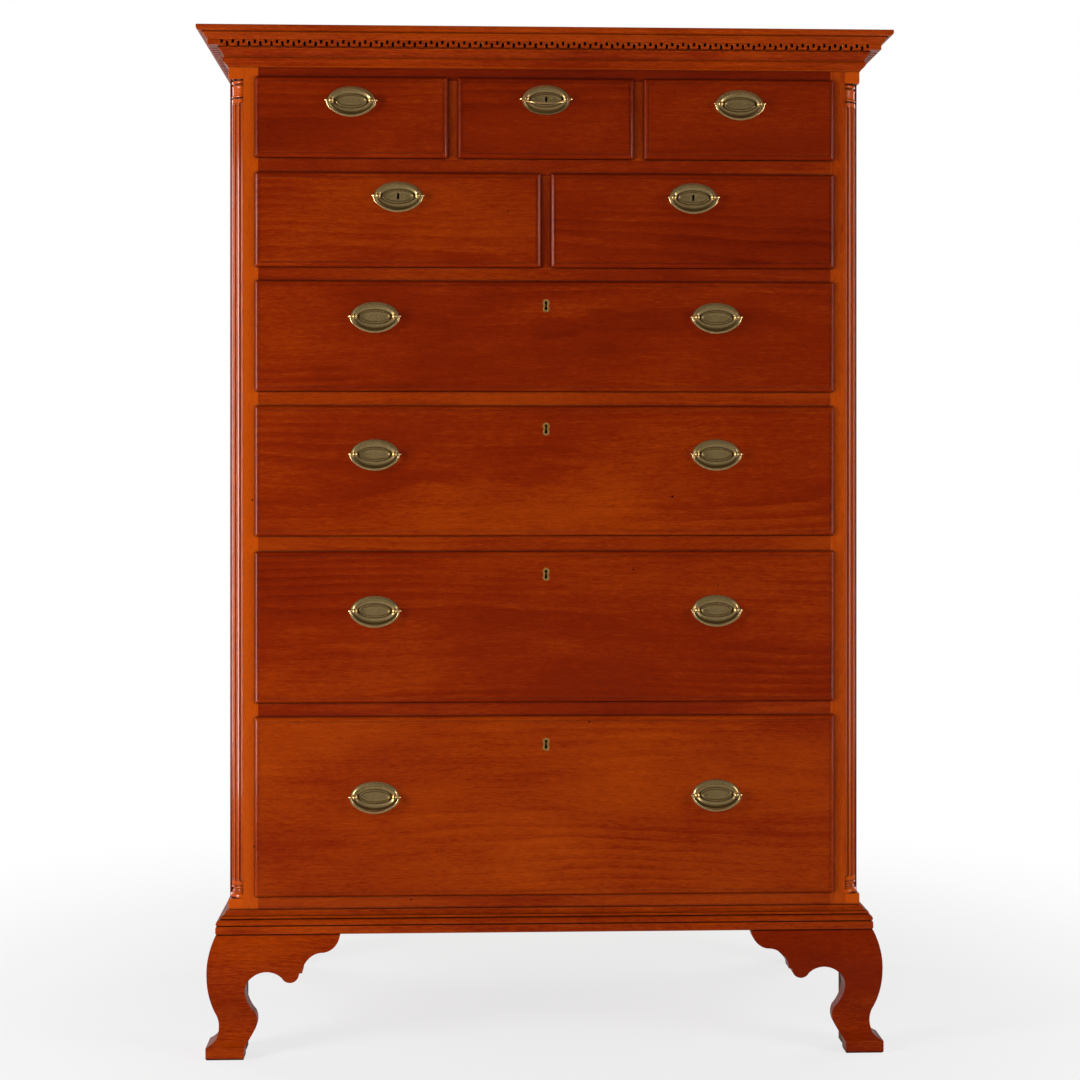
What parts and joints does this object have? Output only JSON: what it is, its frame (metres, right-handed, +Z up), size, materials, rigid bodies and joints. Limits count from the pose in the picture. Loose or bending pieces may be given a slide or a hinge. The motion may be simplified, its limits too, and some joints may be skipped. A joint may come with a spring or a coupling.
{
  "type": "tall chest of drawers",
  "caption": "Tall walnut chest of lipped drawers with a dentilled cornice, fluted quarter columns, ogee bracket feet, oval brass bail pulls and drawer locks.",
  "frame": {"origin": "on the floor, in the middle of the outline of the whole chest", "axes": "+X to the chest's right seen from the front, +Y to the back, +Z up"},
  "size_m": [1.1036, 0.626, 1.6307],
  "materials": {
    "walnut_case": "satin varnish",
    "walnut_front": "satin varnish",
    "walnut_moulding": "satin varnish",
    "poplar": "unfinished, aged",
    "antique_brass": "aged, lightly polished",
    "lock_iron": "worn"
  },
  "bodies": {
    "case": {"left_side_board": "walnut_case", "right_side_board": "walnut_case", "top_and_bottom_boards": "walnut_case", "back_boards": "poplar", "front_posts": "walnut_case", "drawer_rails": "walnut_case", "drawer_runners": "poplar", "quarter_columns": "walnut_moulding", "cornice_mouldings": "walnut_moulding", "dentil_band": "walnut_moulding", "base_moulding": "walnut_moulding", "bracket_feet": "walnut_moulding", "foot_glue_blocks": "poplar"},
    "top_left_drawer": {"top_left_drawer_front": "walnut_front", "top_left_drawer_box": "poplar", "top_left_drawer_brasses": "antique_brass"},
    "top_left_drawer_bail": {"top_left_drawer_bail": "antique_brass"},
    "top_middle_drawer": {"top_middle_drawer_front": "walnut_front", "top_middle_drawer_box": "poplar", "top_middle_drawer_brasses": "antique_brass"},
    "top_middle_drawer_bail": {"top_middle_drawer_bail": "antique_brass"},
    "top_middle_drawer_lock_bolt": {"top_middle_drawer_lock_bolt": "lock_iron"},
    "top_right_drawer": {"top_right_drawer_front": "walnut_front", "top_right_drawer_box": "poplar", "top_right_drawer_brasses": "antique_brass"},
    "top_right_drawer_bail": {"top_right_drawer_bail": "antique_brass"},
    "second_left_drawer": {"second_left_drawer_front": "walnut_front", "second_left_drawer_box": "poplar", "second_left_drawer_brasses": "antique_brass"},
    "second_left_drawer_bail": {"second_left_drawer_bail": "antique_brass"},
    "second_left_drawer_lock_bolt": {"second_left_drawer_lock_bolt": "lock_iron"},
    "second_right_drawer": {"second_right_drawer_front": "walnut_front", "second_right_drawer_box": "poplar", "second_right_drawer_brasses": "antique_brass"},
    "second_right_drawer_bail": {"second_right_drawer_bail": "antique_brass"},
    "second_right_drawer_lock_bolt": {"second_right_drawer_lock_bolt": "lock_iron"},
    "third_drawer": {"third_drawer_front": "walnut_front", "third_drawer_box": "poplar", "third_drawer_brasses": "antique_brass"},
    "third_drawer_left_bail": {"third_drawer_left_bail": "antique_brass"},
    "third_drawer_right_bail": {"third_drawer_right_bail": "antique_brass"},
    "third_drawer_lock_bolt": {"third_drawer_lock_bolt": "lock_iron"},
    "fourth_drawer": {"fourth_drawer_front": "walnut_front", "fourth_drawer_box": "poplar", "fourth_drawer_brasses": "antique_brass"},
    "fourth_drawer_left_bail": {"fourth_drawer_left_bail": "antique_brass"},
    "fourth_drawer_right_bail": {"fourth_drawer_right_bail": "antique_brass"},
    "fourth_drawer_lock_bolt": {"fourth_drawer_lock_bolt": "lock_iron"},
    "fifth_drawer": {"fifth_drawer_front": "walnut_front", "fifth_drawer_box": "poplar", "fifth_drawer_brasses": "antique_brass"},
    "fifth_drawer_left_bail": {"fifth_drawer_left_bail": "antique_brass"},
    "fifth_drawer_right_bail": {"fifth_drawer_right_bail": "antique_brass"},
    "fifth_drawer_lock_bolt": {"fifth_drawer_lock_bolt": "lock_iron"},
    "bottom_drawer": {"bottom_drawer_front": "walnut_front", "bottom_drawer_box": "poplar", "bottom_drawer_brasses": "antique_brass"},
    "bottom_drawer_left_bail": {"bottom_drawer_left_bail": "antique_brass"},
    "bottom_drawer_right_bail": {"bottom_drawer_right_bail": "antique_brass"},
    "bottom_drawer_lock_bolt": {"bottom_drawer_lock_bolt": "lock_iron"}
  },
  "joints": [
    {"name": "top_left_drawer_slide", "type": "slide", "parent": "case", "child": "top_left_drawer", "axis": [0, -1, 0], "range_m": [0, 0.37]},
    {"name": "top_left_drawer_bail_swing", "type": "hinge", "parent": "top_left_drawer", "child": "top_left_drawer_bail", "pos_m": [-0.31035, -0.2835, 1.5177], "axis": [-1, 0, 0], "range_deg": [-12, 170]},
    {"name": "top_middle_drawer_slide", "type": "slide", "parent": "case", "child": "top_middle_drawer", "axis": [0, -1, 0], "range_m": [0, 0.37]},
    {"name": "top_middle_drawer_bail_swing", "type": "hinge", "parent": "top_middle_drawer", "child": "top_middle_drawer_bail", "pos_m": [0, -0.2835, 1.5216], "axis": [-1, 0, 0], "range_deg": [-77, 105]},
    {"name": "top_middle_drawer_lock_throw", "type": "slide", "parent": "top_middle_drawer", "child": "top_middle_drawer_lock_bolt", "axis": [0, 0, 1], "range_m": [0, 0.008]},
    {"name": "top_right_drawer_slide", "type": "slide", "parent": "case", "child": "top_right_drawer", "axis": [0, -1, 0], "range_m": [0, 0.37]},
    {"name": "top_right_drawer_bail_swing", "type": "hinge", "parent": "top_right_drawer", "child": "top_right_drawer_bail", "pos_m": [0.31035, -0.2835, 1.516], "axis": [-1, 0, 0], "range_deg": [-12, 170]},
    {"name": "second_left_drawer_slide", "type": "slide", "parent": "case", "child": "second_left_drawer", "axis": [0, -1, 0], "range_m": [0, 0.37]},
    {"name": "second_left_drawer_bail_swing", "type": "hinge", "parent": "second_left_drawer", "child": "second_left_drawer_bail", "pos_m": [-0.2359, -0.2835, 1.3665], "axis": [-1, 0, 0], "range_deg": [-12, 170]},
    {"name": "second_left_drawer_lock_throw", "type": "slide", "parent": "second_left_drawer", "child": "second_left_drawer_lock_bolt", "axis": [0, 0, 1], "range_m": [0, 0.008]},
    {"name": "second_right_drawer_slide", "type": "slide", "parent": "case", "child": "second_right_drawer", "axis": [0, -1, 0], "range_m": [0, 0.37]},
    {"name": "second_right_drawer_bail_swing", "type": "hinge", "parent": "second_right_drawer", "child": "second_right_drawer_bail", "pos_m": [0.2359, -0.2835, 1.3662], "axis": [-1, 0, 0], "range_deg": [-12, 170]},
    {"name": "second_right_drawer_lock_throw", "type": "slide", "parent": "second_right_drawer", "child": "second_right_drawer_lock_bolt", "axis": [0, 0, 1], "range_m": [0, 0.008]},
    {"name": "third_drawer_slide", "type": "slide", "parent": "case", "child": "third_drawer", "axis": [0, -1, 0], "range_m": [0, 0.37]},
    {"name": "third_drawer_left_bail_swing", "type": "hinge", "parent": "third_drawer", "child": "third_drawer_left_bail", "pos_m": [-0.2728, -0.2835, 1.1746], "axis": [-1, 0, 0], "range_deg": [-12, 170]},
    {"name": "third_drawer_right_bail_swing", "type": "hinge", "parent": "third_drawer", "child": "third_drawer_right_bail", "pos_m": [0.2728, -0.2835, 1.1746], "axis": [-1, 0, 0], "range_deg": [-12, 170]},
    {"name": "third_drawer_lock_throw", "type": "slide", "parent": "third_drawer", "child": "third_drawer_lock_bolt", "axis": [0, 0, 1], "range_m": [0, 0.008]},
    {"name": "fourth_drawer_slide", "type": "slide", "parent": "case", "child": "fourth_drawer", "axis": [0, -1, 0], "range_m": [0, 0.37]},
    {"name": "fourth_drawer_left_bail_swing", "type": "hinge", "parent": "fourth_drawer", "child": "fourth_drawer_left_bail", "pos_m": [-0.2728, -0.2835, 0.9557], "axis": [-1, 0, 0], "range_deg": [-12, 170]},
    {"name": "fourth_drawer_right_bail_swing", "type": "hinge", "parent": "fourth_drawer", "child": "fourth_drawer_right_bail", "pos_m": [0.2728, -0.2835, 0.9557], "axis": [-1, 0, 0], "range_deg": [-12, 170]},
    {"name": "fourth_drawer_lock_throw", "type": "slide", "parent": "fourth_drawer", "child": "fourth_drawer_lock_bolt", "axis": [0, 0, 1], "range_m": [0, 0.008]},
    {"name": "fifth_drawer_slide", "type": "slide", "parent": "case", "child": "fifth_drawer", "axis": [0, -1, 0], "range_m": [0, 0.37]},
    {"name": "fifth_drawer_left_bail_swing", "type": "hinge", "parent": "fifth_drawer", "child": "fifth_drawer_left_bail", "pos_m": [-0.2728, -0.2835, 0.7064], "axis": [-1, 0, 0], "range_deg": [-12, 170]},
    {"name": "fifth_drawer_right_bail_swing", "type": "hinge", "parent": "fifth_drawer", "child": "fifth_drawer_right_bail", "pos_m": [0.2728, -0.2835, 0.7064], "axis": [-1, 0, 0], "range_deg": [-12, 170]},
    {"name": "fifth_drawer_lock_throw", "type": "slide", "parent": "fifth_drawer", "child": "fifth_drawer_lock_bolt", "axis": [0, 0, 1], "range_m": [0, 0.008]},
    {"name": "bottom_drawer_slide", "type": "slide", "parent": "case", "child": "bottom_drawer", "axis": [0, -1, 0], "range_m": [0, 0.37]},
    {"name": "bottom_drawer_left_bail_swing", "type": "hinge", "parent": "bottom_drawer", "child": "bottom_drawer_left_bail", "pos_m": [-0.2728, -0.2835, 0.4108], "axis": [-1, 0, 0], "range_deg": [-12, 170]},
    {"name": "bottom_drawer_right_bail_swing", "type": "hinge", "parent": "bottom_drawer", "child": "bottom_drawer_right_bail", "pos_m": [0.2728, -0.2835, 0.4108], "axis": [-1, 0, 0], "range_deg": [-12, 170]},
    {"name": "bottom_drawer_lock_throw", "type": "slide", "parent": "bottom_drawer", "child": "bottom_drawer_lock_bolt", "axis": [0, 0, 1], "range_m": [0, 0.008]}
  ]
}
